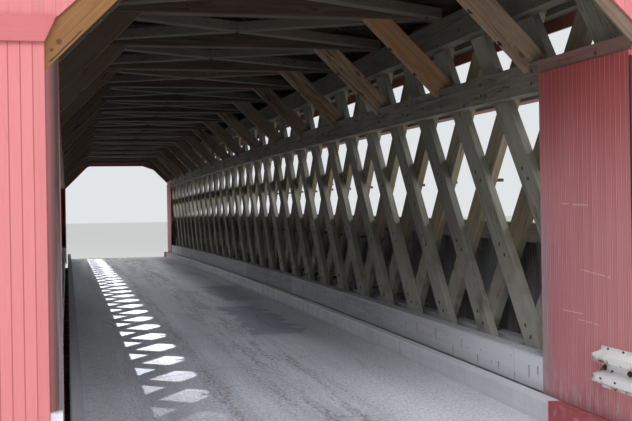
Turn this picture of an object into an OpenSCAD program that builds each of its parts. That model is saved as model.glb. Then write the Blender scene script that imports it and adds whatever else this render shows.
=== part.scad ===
// Covered road bridge on two plank lattice trusses, at full size.
// X runs across the bridge, Y along it, Z up. The origin is on the ground, at the middle of the bridge.
// Every long timber follows the camber, so cross timbers and long ones seat on each other face to face.

/* [Bridge] */
// Length between the outer faces of the two portals
bridge_len = 35600; // [24000:100:38000]
// Rise of the whole bridge at its middle
camber = 120; // [0:10:400]
// Half distance between the inner faces of the two lattices
truss_face = 2150; // [2000:10:2600]

/* [Lattice] */
// Distance along the bridge between lattice planks that lie side by side
plank_pitch = 1135; // [900:5:1400]
// Distance from the near portal's face to the first crossing of the planks
lattice_start = 487; // [300:1:1100]
// Height of the upper row of crossings above the road
crossing_up = 2770; // [2650:5:2850]
// Angle of the lattice planks to the deck, in degrees
plank_angle = 51.7; // [40:0.1:60]
// Width of a lattice plank
plank_w = 260; // [180:5:320]
// Thickness of a lattice or chord plank
plank_t = 76; // [50:1:100]
// How far the plank ends stop short of the chords' outer edges
plank_trim = 20; // [5:1:60]

/* [Chords] */
// Depth of the bottom chords
bottom_chord_h = 300; // [240:5:360]
// Underside of the lower secondary chords above the road
lower_chord_up = 170; // [100:5:300]
// Depth of the lower secondary chords
lower_chord_h = 300; // [200:5:340]
// Underside of the upper secondary chords above the road
upper_chord_up = 2740; // [2500:10:2800]
// Depth of the upper secondary chords
upper_chord_h = 260; // [200:5:300]
// Underside of the top chords above the road
top_chord_up = 3460; // [3400:10:3700]
// Depth of the top chords
top_chord_h = 290; // [200:5:340]
// Width of the groove between the two planks of a chord side
groove_w = 12; // [4:1:24]
// Depth of that groove
groove_d = 30; // [5:1:60]

/* [Floor] */
// Height of the bed timbers under the chord ends
bed_h = 300; // [150:5:400]
// Width of one bed timber along the bridge
bed_w = 250; // [150:10:350]
// Gap between the bed timbers
bed_gap = 80; // [20:5:200]
// Number of bed timbers at each end
bed_count = 3; // [2:1:4]
// How far the bed timbers stand out past the chords
bed_out = 150; // [0:10:300]
// Depth of the floor beams
floor_beam_h = 300; // [200:5:400]
// Width of the floor beams
floor_beam_w = 200; // [120:5:300]
// Number of floor beams
floor_beam_count = 30; // [20:1:36]
// Depth of the stringers
stringer_h = 200; // [120:5:300]
// Width of a stringer
stringer_w = 120; // [80:5:200]
// Number of stringers
stringer_count = 7; // [5:1:9]
// Thickness of the deck planks
deck_t = 80; // [50:1:120]
// Thickness of the road surface
road_t = 60; // [30:1:90]
// Width of the open slot between a curb and the return panel beside it
slot_w = 43; // [20:1:100]
// Width of a curb timber
curb_w = 110; // [80:5:150]
// Height of the curbs above the road
curb_up = 190; // [100:5:235]

/* [Roof] */
// Distance along the bridge between tie beams
tie_pitch = 2270; // [1800:10:2800]
// Distance from the near portal's face to the first tie beam inside
tie_first = 1800; // [1500:10:2200]
// Depth of the tie beams
tie_h = 250; // [150:5:300]
// Width of the tie beams
tie_w = 180; // [120:5:240]
// Thickness of the knee braces along the bridge
knee_t = 100; // [70:5:150]
// Depth of the knee braces
knee_d = 220; // [180:5:260]
// Reach of a knee brace along the tie beam, from the chord's inner face
knee_run = 830; // [600:10:950]
// How far the toe of a knee brace hangs below the top of the chord it is notched over
knee_toe = 80; // [40:5:120]
// Depth of the lateral braces between the tie beams
lateral_h = 100; // [60:5:150]
// Width of the lateral braces
lateral_w = 150; // [100:5:200]
// How far the lateral braces lie above the undersides of the tie beams
lateral_up = 20; // [0:5:60]
// Slope of the roof in degrees
roof_pitch = 35; // [25:1:45]
// Depth of the rafters
rafter_h = 140; // [100:5:200]
// Width of the rafters
rafter_w = 75; // [50:5:120]
// Depth of the notch of a rafter over the eave plate
birdsmouth = 30; // [10:1:60]
// Distance along the bridge between rafters
rafter_pitch = 750; // [500:10:1000]
// Height of the eave plates that carry the rafter feet
plate_h = 120; // [80:5:200]
// Width of the eave plates
plate_w = 160; // [100:5:250]
// Thickness of the roof boards
roof_board_t = 28; // [18:1:40]
// Thickness of the roofing
roofing_t = 22; // [10:1:40]
// How far the roofing stands out past the roof boards at the eaves
roofing_out = 30; // [0:5:60]
// Width of each wing of the ridge cap
ridge_cap_w = 180; // [100:5:260]
// Thickness of the ridge cap
ridge_cap_t = 8; // [4:1:15]
// How far the roof stands out past the side walls
eave_out = 680; // [200:10:900]
// How far the roof stands out past the portals
gable_out = 350; // [150:10:600]

/* [Walls] */
// Thickness of the wall and portal boards
board_t = 25; // [18:1:40]
// Top of the side siding above the road
siding_up = 1550; // [1200:10:1900]
// Foot of the side siding below the road
siding_down = 820; // [400:10:930]
// Height of the rail under the siding's top
siding_rail_h = 140; // [80:5:200]
// Thickness of the cap on the siding
cap_t = 40; // [20:1:60]
// How far the cap stands out past the siding
cap_out = 30; // [0:5:60]
// Foot of the eave boards above the road
eave_boards_up = 3350; // [3150:10:3500]

/* [Portals] */
// How far the opening's sides stand back from the faces of the return panels
reveal = 77; // [30:1:140]
// Height of the opening's straight sides above the road
jamb_up = 2840; // [2600:10:2900]
// How far in from the opening's sides the steep corner ends
corner_in = 70; // [40:5:150]
// Height at the top of the steep corner
corner_up = 2990; // [2920:10:3050]
// How far in from the opening's sides the long slope ends
slope_in = 575; // [450:5:850]
// Height at the top of the long slope
slope_up = 3460; // [3350:10:3550]
// How far in from the opening's sides its flat top begins
crown_in = 1030; // [900:5:1250]
// Height of the opening's flat top
crown_up = 3620; // [3560:10:3740]
// How much further out the right side of the near portal's opening stands than its left
near_shift = 100; // [0:10:150]
// Joint between the panels that make up a gable
gable_joint = 0.6; // [0.2:0.1:0.9]
// How far the portal boards stand out past the side siding
portal_out = 160; // [60:5:260]
// How far the portal boards run down below the road
portal_down = 700; // [300:10:900]
// Height of the band across the portal
trim_h = 160; // [100:5:220]
// Thickness of that band
trim_t = 30; // [18:1:50]
// Size along the bridge of the portal posts
post_w = 200; // [120:5:260]
// Length of the boarded return panels inside the portals
return_len = 1490; // [900:10:2200]
// Top of the return panels above the road
return_up = 2880; // [2750:10:2950]
// Depth of the plank braces across the upper corners of the portals
brace_d = 250; // [150:10:300]
// Height above the road of the left braces' undersides, at the chords' inner faces
brace_left_up = 2720; // [2650:10:3000]
// The same height on the right
brace_right_up = 2920; // [2650:10:3000]

/* [Guard rail] */
// How far the guard rail reaches into the bridge
rail_in = 500; // [300:10:1300]
// How far the guard rail stands out in front of the portal
rail_out = 240; // [40:10:340]
// Underside of the guard rail above the road
rail_up = 410; // [350:5:600]
// Height of the guard rail
rail_h = 312; // [250:1:350]
// Depth of the guard rail's waves
rail_d = 83; // [50:1:100]
// Thickness of the guard rail's sheet
rail_t = 4; // [3:0.5:8]

/* [Hidden] */

half_len = bridge_len / 2;
// The camber is followed in this many straight runs
camber_runs = 16;
run_len = bridge_len / camber_runs;

// Levels above the ground
bottom_chord_z = bed_h;
floor_beam_z = bottom_chord_z + bottom_chord_h;
stringer_z = floor_beam_z + floor_beam_h;
deck_z = stringer_z + stringer_h;
road_base_z = deck_z + deck_t;
road_z = road_base_z + road_t;
top_chord_top_z = road_z + top_chord_up + top_chord_h;
tie_top_z = top_chord_top_z + tie_h;
plate_top_z = tie_top_z + plate_h;

// Places across the bridge, from the centreline out
chord_w = 2 * plank_t;
chord_in = truss_face - chord_w;
web_mid = truss_face + plank_t;
web_out = truss_face + 2 * plank_t;
chord_out = web_out + chord_w;
siding_out = chord_out + board_t;
panel_in = chord_in - board_t;
deck_half_w = panel_in - slot_w;
road_half_w = deck_half_w - curb_w;
opening_half_w = panel_in + reveal;
corner_half_w = opening_half_w - corner_in;
slope_half_w = opening_half_w - slope_in;
crown_half_w = opening_half_w - crown_in;
portal_half_w = siding_out + portal_out;
plate_out = chord_out;
roof_half_w = siding_out + eave_out;

// Places along the bridge
inner_end = half_len - board_t;
web_end = inner_end - post_w;
chord_end = inner_end - board_t;
plank_run = plank_w / sin(plank_angle);

// Height of the camber line at place y along the bridge
function arc(y) = camber * (1 - pow(2 * y / bridge_len, 2));
function rise(y) =
    let (i = floor((y + half_len) / run_len), a = -half_len + i * run_len, b = a + run_len)
    arc(a) + (arc(b) - arc(a)) * (y - a) / run_len;
// The highest and the lowest point of the camber line between y0 and y1, on one side of the middle
function rise_high(y0, y1) = max(rise(y0), rise(y1));
function rise_low(y0, y1) = min(rise(y0), rise(y1));
// The places where a timber from y0 to y1 bends with the camber
function bends(y0, y1) = concat(
    [y0],
    [for (i = [-1:camber_runs + 1]) let (y = -half_len + i * run_len) if (y > y0 + 1 && y < y1 - 1) y],
    [y1]
);

// A timber from x0 to x1 across, y0 to y1 along and z0 to z1 up, which follows the camber
module timber(x0, x1, y0, y1, z0, z1) {
    ys = bends(y0, y1);
    n = len(ys);
    low = [for (y = ys) [y, z0 + rise(y)]];
    high = [for (i = [n - 1:-1:0]) [ys[i], z1 + rise(ys[i])]];
    translate([x0, 0, 0]) rotate([90, 0, 90]) linear_extrude(x1 - x0) polygon(concat(low, high));
}

// The same on the side of the bridge that side names: -1 is left, 1 is right
module side_timber(side, x0, x1, y0, y1, z0, z1) {
    timber(min(side * x0, side * x1), max(side * x0, side * x1), y0, y1, z0, z1);
}

// Bed timbers under one end of the bridge: level below, and sloped above so that the chords bed on them
module bed_timbers(end) {
    color("#8a7a66")
    for (i = [0:bed_count - 1]) {
        from_end = i * (bed_w + bed_gap);
        y0 = end > 0 ? inner_end - from_end - bed_w : -inner_end + from_end;
        y1 = y0 + bed_w;
        translate([-chord_out - bed_out, 0, 0]) rotate([90, 0, 90]) linear_extrude(2 * (chord_out + bed_out))
            polygon([[y0, 0], [y1, 0], [y1, bed_h + rise(y1)], [y0, bed_h + rise(y0)]]);
    }
}

// A chord's planks: a pair inside the lattice and a pair outside it
module chord(side, z0, h) {
    for (x0 = [chord_in, web_out])
        difference() {
            side_timber(side, x0, x0 + chord_w, -chord_end, chord_end, z0, z0 + h);
            side_timber(side, x0 + plank_t - groove_w / 2, x0 + plank_t + groove_w / 2,
                -inner_end, inner_end, z0 + h - groove_d, z0 + h + groove_d);
        }
}

// One lattice layer: planks that lean towards the far end when lean is 1, towards the near end when it is -1
module lattice(side, x0, lean) {
    z0 = bottom_chord_z + plank_trim;
    z1 = top_chord_top_z - plank_trim;
    crossing_z = road_z + crossing_up;
    reach = (z1 - z0) / tan(plank_angle);
    x = side > 0 ? x0 : -x0 - plank_t;
    translate([x, 0, 0]) rotate([90, 0, 90]) linear_extrude(plank_t)
        for (i = [-ceil(reach / plank_pitch):ceil((bridge_len + reach) / plank_pitch)]) {
            y_mid = -half_len + lattice_start + i * plank_pitch;
            y_low = y_mid + lean * (z0 - crossing_z) / tan(plank_angle);
            y_high = y_mid + lean * (z1 - crossing_z) / tan(plank_angle);
            if (max(y_low, y_high) > -web_end && min(y_low, y_high) < web_end)
                intersection() {
                    polygon([
                        [y_low - plank_run / 2, z0 + rise(y_low)],
                        [y_low + plank_run / 2, z0 + rise(y_low)],
                        [y_high + plank_run / 2, z1 + rise(y_high)],
                        [y_high - plank_run / 2, z1 + rise(y_high)]
                    ]);
                    translate([-web_end, 0]) square([2 * web_end, 2 * z1]);
                }
        }
}

module floor_beams() {
    step = 2 * (inner_end - floor_beam_w) / (floor_beam_count - 1);
    color("#6f675c")
    for (i = [0:floor_beam_count - 1]) {
        y0 = -inner_end + floor_beam_w / 2 + i * step;
        timber(-truss_face, truss_face, y0, y0 + floor_beam_w, floor_beam_z, stringer_z);
    }
}

module stringers() {
    step = 2 * (road_half_w - stringer_w / 2) / (stringer_count - 1);
    color("#776e62")
    for (i = [0:stringer_count - 1]) {
        x = -road_half_w + stringer_w / 2 + i * step;
        timber(x - stringer_w / 2, x + stringer_w / 2, -inner_end, inner_end, stringer_z, deck_z);
    }
}

module deck_planks() {
    color("#7d7468")
    timber(-deck_half_w, deck_half_w, -inner_end, inner_end, deck_z, road_base_z);
}

module road_surface() {
    color("#8b8b8d")
    timber(-road_half_w, road_half_w, -inner_end, inner_end, road_base_z, road_z);
}

module curb(side) {
    color("#a5a09a")
    side_timber(side, road_half_w, deck_half_w, -inner_end, inner_end, road_base_z, road_z + curb_up);
}

// Places of the tie beams: one over each portal and a row between them
tie_count = floor((bridge_len - tie_first - post_w - 2 * tie_w) / tie_pitch) + 1;
inner_ties = [for (i = [0:tie_count - 1]) -half_len + tie_first + i * tie_pitch];
portal_ties = [-inner_end + post_w / 2, inner_end - post_w / 2];

module tie_beams() {
    color("#5d4f42")
    for (y = concat(portal_ties, inner_ties))
        timber(-chord_out, chord_out, y - tie_w / 2, y + tie_w / 2, top_chord_top_z, tie_top_z);
}

// A knee brace is notched over the upper secondary chord and ends under the tie beam
module knee_braces(side) {
    foot_z = road_z + upper_chord_up + upper_chord_h;
    slope = atan((top_chord_top_z - foot_z + knee_toe) / knee_run);
    back_up = knee_d / cos(slope) - chord_w * tan(slope);
    color("#8a6a50")
    for (y = inner_ties) {
        y0 = y - knee_t / 2;
        y1 = y + knee_t / 2;
        low = foot_z + rise_high(y0, y1);
        high = top_chord_top_z + rise_low(y0, y1);
        translate([0, y1, 0]) rotate([90, 0, 0]) linear_extrude(knee_t)
            polygon([
                [side * chord_in, low - knee_toe], [side * chord_in, low], [side * truss_face, low],
                [side * truss_face, low - knee_toe + back_up],
                [side * (chord_in - knee_run + knee_d / sin(slope)), high],
                [side * (chord_in - knee_run), high]
            ]);
    }
}

// Crossed braces lie level between the tie beams, low down, a pair in each bay
module lateral_braces() {
    bay = tie_pitch - tie_w;
    across = 2 * chord_in;
    color("#564a3f")
    for (i = [0:tie_count - 2]) {
        y0 = -half_len + tie_first + i * tie_pitch + tie_w / 2;
        intersection() {
            translate([0, y0 + bay / 2, top_chord_top_z + lateral_up + rise(y0 + bay / 2)])
                for (turn = [-1, 1]) rotate([0, 0, turn * atan(bay / across)])
                    translate([-across, -lateral_w / 2, 0]) cube([2 * across, lateral_w, lateral_h]);
            translate([-chord_in, y0, 0]) cube([2 * chord_in, bay, tie_top_z + camber]);
        }
    }
}

module eave_plate(side) {
    color("#5d4f42")
    side_timber(side, plate_out - plate_w, plate_out, -inner_end, inner_end, tie_top_z, plate_top_z);
}

// Height of the rafters' underside at distance x from the centreline
function slope_z(x) = plate_top_z - birdsmouth + (plate_out - x) * tan(roof_pitch);

// A sloping slab of the roof on one side, from x0 out to x1, lift above the rafters' underside and t thick
module roof_slab(side, x0, x1, y0, y1, lift, t) {
    ys = bends(y0, y1);
    rise_up = lift / cos(roof_pitch);
    deep = t / cos(roof_pitch);
    for (i = [0:len(ys) - 2]) {
        a = ys[i];
        b = ys[i + 1];
        pts = [for (y = [a, b]) for (k = [0, 1]) for (x = [x0, x1])
            [side * x, y, slope_z(x) + rise_up + k * deep + rise(y)]];
        faces = [[0, 1, 3, 2], [4, 6, 7, 5], [0, 4, 5, 1], [2, 3, 7, 6], [0, 2, 6, 4], [1, 5, 7, 3]];
        hull() polyhedron(pts, faces);
    }
}

// A rafter is notched over the eave plate
module rafters(side) {
    count = floor((2 * inner_end - rafter_w) / rafter_pitch);
    step = (2 * inner_end - rafter_w) / count;
    deep = rafter_h / cos(roof_pitch);
    seat = birdsmouth / tan(roof_pitch);
    color("#5a4c40")
    for (i = [0:count]) {
        y0 = -inner_end + i * step;
        y1 = y0 + rafter_w;
        low = rise_high(y0, y1);
        high = deep + rise_low(y0, y1);
        translate([0, y1, 0]) rotate([90, 0, 0]) linear_extrude(rafter_w)
            polygon([
                [0, slope_z(0) + low], [side * (plate_out - seat), plate_top_z + low],
                [side * plate_out, plate_top_z + low], [side * plate_out, slope_z(plate_out) + low],
                [side * roof_half_w, slope_z(roof_half_w) + low],
                [side * roof_half_w, slope_z(roof_half_w) + high], [0, slope_z(0) + high]
            ]);
    }
}

module roof_boards(side) {
    color("#4d4238")
    roof_slab(side, 0, roof_half_w, -half_len - gable_out, half_len + gable_out, rafter_h, roof_board_t);
}

module roofing(side) {
    color("#6b6f70")
    roof_slab(side, 0, roof_half_w + roofing_out, -half_len - gable_out, half_len + gable_out,
        rafter_h + roof_board_t, roofing_t);
}

module ridge_cap() {
    color("#6b6f70")
    for (side = [-1, 1])
        roof_slab(side, 0, ridge_cap_w, -half_len - gable_out, half_len + gable_out,
            rafter_h + roof_board_t + roofing_t, ridge_cap_t);
}

module siding(side) {
    color("#5b5048")
    side_timber(side, chord_out, siding_out, -inner_end, inner_end,
        road_z - siding_down, road_z + siding_up);
}

module siding_rail(side) {
    color("#b3aca4")
    union() {
        side_timber(side, web_out, chord_out, -inner_end, inner_end,
            road_z + siding_up - siding_rail_h, road_z + siding_up);
        side_timber(side, web_out, siding_out + cap_out, -inner_end, inner_end,
            road_z + siding_up, road_z + siding_up + cap_t);
    }
}

module eave_boards(side) {
    color("#8c4a44")
    side_timber(side, chord_out, siding_out, -inner_end, inner_end,
        road_z + eave_boards_up, slope_z(siding_out));
}

module portal_posts(side) {
    color("#7b6f62")
    for (end = [-1, 1])
        side_timber(side, truss_face, web_out, end > 0 ? web_end : -inner_end,
            end > 0 ? inner_end : -web_end, bottom_chord_z, top_chord_top_z);
}

// How far out from the usual place the opening's side stands
function shift_out(end, side) = end < 0 && side > 0 ? near_shift : 0;
// The opening as a flat outline above the road
function opening_points(end) =
    let (out = shift_out(end, 1), half = [
        [opening_half_w, 0], [opening_half_w, jamb_up], [corner_half_w, corner_up],
        [slope_half_w, slope_up], [crown_half_w, crown_up]
    ])
    concat([for (p = half) [-p[0], p[1]]], [for (i = [len(half) - 1:-1:0]) [half[i][0] + out, half[i][1]]]);

module portal_sheet(end) {
    y = end > 0 ? half_len : -half_len + board_t;
    translate([0, y, 0]) rotate([90, 0, 0]) linear_extrude(board_t) children();
}

module portal_leg(end, side) {
    leg_in = opening_half_w + shift_out(end, side);
    color("#b5545a")
    portal_sheet(end)
        polygon([
            [side * leg_in, road_z - portal_down], [side * portal_half_w, road_z - portal_down],
            [side * portal_half_w, road_z + jamb_up], [side * leg_in, road_z + jamb_up]
        ]);
}

// A gable is made up of panels, with joints above the corners of the opening
module portal_gable(end) {
    color("#b5545a")
    portal_sheet(end) difference() {
        polygon([
            [-portal_half_w, road_z + jamb_up], [portal_half_w, road_z + jamb_up],
            [portal_half_w, slope_z(portal_half_w) + rafter_h / cos(roof_pitch)],
            [0, slope_z(0) + rafter_h / cos(roof_pitch)],
            [-portal_half_w, slope_z(portal_half_w) + rafter_h / cos(roof_pitch)]
        ]);
        translate([0, road_z]) polygon(opening_points(end));
        for (side = [-1, 1]) for (x = [crown_half_w, slope_half_w, corner_half_w])
            translate([side * x + shift_out(end, side) - gable_joint / 2, road_z])
                square([gable_joint, plate_top_z]);
    }
}

// A band lies across the boards of each leg, at the foot of the opening's corner
module portal_bands() {
    color("#b5545a")
    for (end = [-1, 1])
        translate([0, end > 0 ? half_len + trim_t : -half_len, road_z])
            rotate([90, 0, 0]) linear_extrude(trim_t) difference() {
                translate([-portal_half_w, jamb_up]) square([2 * portal_half_w, trim_h]);
                polygon(opening_points(end));
            }
}

// Height of a portal brace's underside at distance x from the centreline; the braces slope at 45 degrees
function brace_z(side, x) = road_z + (side < 0 ? brace_left_up : brace_right_up) + chord_in - x;

// A flat piece behind the portal boards, in front of the chord ends
module behind_portal(end) {
    y = end > 0 ? inner_end : -chord_end;
    translate([0, y, 0]) rotate([90, 0, 0]) linear_extrude(board_t) children();
}

// A plank across each upper corner of the portal, nailed to the chord ends and to the portal boards
module portal_braces(side) {
    deep = brace_d / cos(45);
    low = brace_z(side, truss_face);
    top_x = truss_face - (top_chord_top_z - low);
    color("#8a6a50")
    for (end = [-1, 1])
        behind_portal(end) polygon([
            [side * truss_face, low], [side * truss_face, low + deep],
            [side * (top_x + deep), top_chord_top_z], [side * top_x, top_chord_top_z]
        ]);
}

// A narrow board closes the chord ends at each side of the openings, up to the brace
module jamb_boards() {
    jamb_top = road_z + jamb_up;
    color("#a04a50")
    for (end = [-1, 1]) for (side = [-1, 1])
        behind_portal(end) polygon([
            [side * panel_in, deck_z], [side * truss_face, deck_z],
            [side * truss_face, min(jamb_top, brace_z(side, truss_face))],
            [side * panel_in, min(jamb_top, brace_z(side, panel_in))]
        ]);
}

module return_panels(side) {
    color("#a04a50")
    for (end = [-1, 1])
        side_timber(side, panel_in, chord_in, end > 0 ? inner_end - return_len : -chord_end,
            end > 0 ? chord_end : -inner_end + return_len, deck_z, road_z + return_up);
}

// Depth of the guard rail's face at u of its height: two waves with flat crests, and a flat valley between
function wave(u) = rail_d * max(0, min(1, 0.5 - 0.8 * cos(720 * u)));
// The unit normal of the wave, towards the road, between the points at u and u + du
function wave_normal(u, du) =
    let (dx = wave(u + du) - wave(u), dz = du * rail_h, l = norm([dx, dz])) [dz / l, -dx / l];
// A point of the rail's front face, one sheet thickness off its back
function front_point(u, du) =
    let (a = wave_normal(max(0, u - du), du), b = wave_normal(min(1 - du, u), du), s = rail_t / (1 + a * b))
    [wave(u) + s * (a[0] + b[0]), u * rail_h + s * (a[1] + b[1])];

// Two-wave guard rail, bolted to the right return panel at the near portal
module guard_rail() {
    steps = 40;
    du = 1 / steps;
    back = [for (i = [0:steps]) [wave(i * du), i * du * rail_h]];
    front = [for (i = [steps:-1:0]) front_point(i * du, du)];
    color("#d8d2c4")
    translate([panel_in, -half_len + rail_in, road_z + rail_up])
        rotate([90, 0, 0]) linear_extrude(rail_in + rail_out)
            polygon([for (p = concat(back, front)) [-p[0], p[1]]]);
}

bed_timbers(-1);  // bed_timbers_near
bed_timbers(1);  // bed_timbers_far
color("#7a7064") chord(-1, bottom_chord_z, bottom_chord_h);  // bottom_chord_left
color("#7a7064") chord(1, bottom_chord_z, bottom_chord_h);  // bottom_chord_right
floor_beams();
stringers();
deck_planks();
road_surface();
curb(-1);  // curb_left
curb(1);  // curb_right
color("#857b6f") lattice(-1, truss_face, 1);  // lattice_inner_left
color("#857b6f") lattice(1, truss_face, 1);  // lattice_inner_right
color("#7d6550") lattice(-1, web_mid, -1);  // lattice_outer_left
color("#7d6550") lattice(1, web_mid, -1);  // lattice_outer_right
color("#a29d97") chord(-1, road_z + lower_chord_up, lower_chord_h);  // lower_chord_left
color("#a29d97") chord(1, road_z + lower_chord_up, lower_chord_h);  // lower_chord_right
color("#80776b") chord(-1, road_z + upper_chord_up, upper_chord_h);  // upper_chord_left
color("#80776b") chord(1, road_z + upper_chord_up, upper_chord_h);  // upper_chord_right
color("#6d6459") chord(-1, road_z + top_chord_up, top_chord_h);  // top_chord_left
color("#6d6459") chord(1, road_z + top_chord_up, top_chord_h);  // top_chord_right
tie_beams();
knee_braces(-1);  // knee_braces_left
knee_braces(1);  // knee_braces_right
lateral_braces();
eave_plate(-1);  // eave_plate_left
eave_plate(1);  // eave_plate_right
rafters(-1);  // rafters_left
rafters(1);  // rafters_right
roof_boards(-1);  // roof_boards_left
roof_boards(1);  // roof_boards_right
roofing(-1);  // roofing_left
roofing(1);  // roofing_right
ridge_cap();
siding(-1);  // siding_left
siding(1);  // siding_right
siding_rail(-1);  // siding_rail_left
siding_rail(1);  // siding_rail_right
eave_boards(-1);  // eave_boards_left
eave_boards(1);  // eave_boards_right
portal_posts(-1);  // portal_posts_left
portal_posts(1);  // portal_posts_right
portal_leg(-1, -1);  // near_portal_left
portal_leg(-1, 1);  // near_portal_right
portal_gable(-1);  // near_portal_gable
portal_leg(1, -1);  // far_portal_left
portal_leg(1, 1);  // far_portal_right
portal_gable(1);  // far_portal_gable
portal_bands();
portal_braces(-1);  // portal_braces_left
portal_braces(1);  // portal_braces_right
jamb_boards();
return_panels(-1);  // return_panels_left
return_panels(1);  // return_panels_right
guard_rail();
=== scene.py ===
import math
import random

import bmesh
import bpy
from mathutils import Matrix, Vector


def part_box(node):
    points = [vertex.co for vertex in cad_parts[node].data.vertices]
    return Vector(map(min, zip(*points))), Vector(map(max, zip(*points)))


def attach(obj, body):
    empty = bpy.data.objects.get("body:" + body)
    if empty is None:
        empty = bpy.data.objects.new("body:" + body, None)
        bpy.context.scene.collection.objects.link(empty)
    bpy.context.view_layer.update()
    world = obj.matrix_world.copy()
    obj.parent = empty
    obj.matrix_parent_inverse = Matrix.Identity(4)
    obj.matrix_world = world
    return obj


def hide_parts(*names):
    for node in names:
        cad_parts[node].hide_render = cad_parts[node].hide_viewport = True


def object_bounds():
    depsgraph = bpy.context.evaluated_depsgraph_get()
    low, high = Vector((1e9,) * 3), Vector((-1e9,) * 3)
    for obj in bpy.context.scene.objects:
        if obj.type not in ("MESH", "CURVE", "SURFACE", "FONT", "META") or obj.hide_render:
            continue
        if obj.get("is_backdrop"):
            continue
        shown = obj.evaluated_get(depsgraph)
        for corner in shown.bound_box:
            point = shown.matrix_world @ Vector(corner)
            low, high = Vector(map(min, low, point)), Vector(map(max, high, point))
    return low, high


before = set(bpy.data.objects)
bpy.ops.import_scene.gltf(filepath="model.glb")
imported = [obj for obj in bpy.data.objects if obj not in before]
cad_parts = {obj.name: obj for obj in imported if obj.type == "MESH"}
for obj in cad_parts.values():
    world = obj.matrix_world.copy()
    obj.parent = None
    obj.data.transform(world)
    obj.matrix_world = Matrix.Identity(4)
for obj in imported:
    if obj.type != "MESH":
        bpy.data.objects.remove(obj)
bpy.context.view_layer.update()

# Bed timbers
# Three squared softwood timbers lie side by side on each abutment and carry the chord ends.
# They are sawn level below and to the slope of the camber above, and have greyed in the damp.


class Nodes:
    """Adds shader nodes to one tree: a material's or a group's."""

    def __init__(self, tree):
        self.tree = tree

    def put(self, kind, inputs=None, **settings):
        made = self.tree.nodes.new(kind)
        for name, value in settings.items():
            setattr(made, name, value)
        self.feed(made.inputs, inputs or {})
        return made

    def feed(self, sockets, values):
        """Gives inputs their values, or links them to the outputs that have them."""
        for name, value in values.items():
            if isinstance(value, bpy.types.NodeSocket):
                self.tree.links.new(value, sockets[name])
            else:
                sockets[name].default_value = value

    def calc(self, operation, first, second=0.0):
        return self.put("ShaderNodeMath", {0: first, 1: second}, operation=operation).outputs[0]

    def times(self, first, second):
        return self.calc("MULTIPLY", first, second)

    def plus(self, first, second):
        return self.calc("ADD", first, second)

    def minus(self, first, second):
        return self.calc("SUBTRACT", first, second)

    def nth(self, place, step):
        """The number of the piece at a place, where one follows another at every step."""
        return self.calc("FLOOR", self.calc("DIVIDE", place, step))

    def ramp(self, value, low, high, at_low=0.0, at_high=1.0):
        ends = {"Value": value, "From Min": low, "From Max": high, "To Min": at_low, "To Max": at_high}
        return self.put("ShaderNodeMapRange", ends, interpolation_type="SMOOTHSTEP").outputs[0]

    def band(self, value, centre, half, soft):
        """1 within half of centre, falling to 0 over soft."""
        off = self.calc("ABSOLUTE", self.minus(value, centre))
        return self.ramp(off, half, half + soft, 1.0, 0.0)

    def stretch(self, vector, x, y, z):
        return self.put("ShaderNodeVectorMath", {0: vector, 1: (x, y, z)}, operation="MULTIPLY").outputs[0]

    def noise(self, vector, scale, detail=2.0, rough=0.5):
        inputs = {"Vector": vector, "Scale": scale, "Detail": detail, "Roughness": rough}
        return self.put("ShaderNodeTexNoise", inputs).outputs[0]

    def random(self, number):
        return self.put("ShaderNodeTexWhiteNoise", {"W": number}, noise_dimensions="1D").outputs["Value"]

    def mix(self, share, first, second):
        return self.put("ShaderNodeMix", {0: share, 6: first, 7: second}, data_type="RGBA").outputs[2]


def new_group(name, inputs, outputs):
    """A shader node group; its inputs are pairs of a name and a default, where a tuple makes a vector."""
    group = bpy.data.node_groups.new(name, "ShaderNodeTree")
    for label, value in inputs:
        kind = "NodeSocketVector" if isinstance(value, tuple) else "NodeSocketFloat"
        group.interface.new_socket(label, in_out="INPUT", socket_type=kind).default_value = value
    for label in outputs:
        kind = "NodeSocketVector" if label == "Level" else "NodeSocketFloat"
        group.interface.new_socket(label, in_out="OUTPUT", socket_type=kind)
    nodes = Nodes(group)
    return nodes, nodes.put("NodeGroupInput").outputs, nodes.put("NodeGroupOutput").inputs


half_len, camber = 17.8, 0.12


def rise(y):
    """Height of the camber at y along the bridge."""
    return camber * (1 - (y / half_len) ** 2)


def place_group():
    """Object coordinates with the camber taken out, and the plain places across, along and up."""
    wanted = ["Level", "Across", "Along", "Up"]
    n, given, out = new_group("bridge_place", [("Object", (0.0, 0.0, 0.0))], wanted)
    apart = n.put("ShaderNodeSeparateXYZ", {0: given["Object"]}).outputs
    share = n.calc("POWER", n.calc("ABSOLUTE", n.calc("DIVIDE", apart["Y"], half_len)), 2.0)
    up = n.minus(apart["Z"], n.times(n.minus(1.0, share), camber))
    level = n.put("ShaderNodeCombineXYZ", {"X": apart["X"], "Y": apart["Y"], "Z": up}).outputs[0]
    n.feed(out, {"Level": level, "Across": n.calc("ABSOLUTE", apart["X"]), "Along": apart["Y"], "Up": up})
    return n.tree


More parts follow.
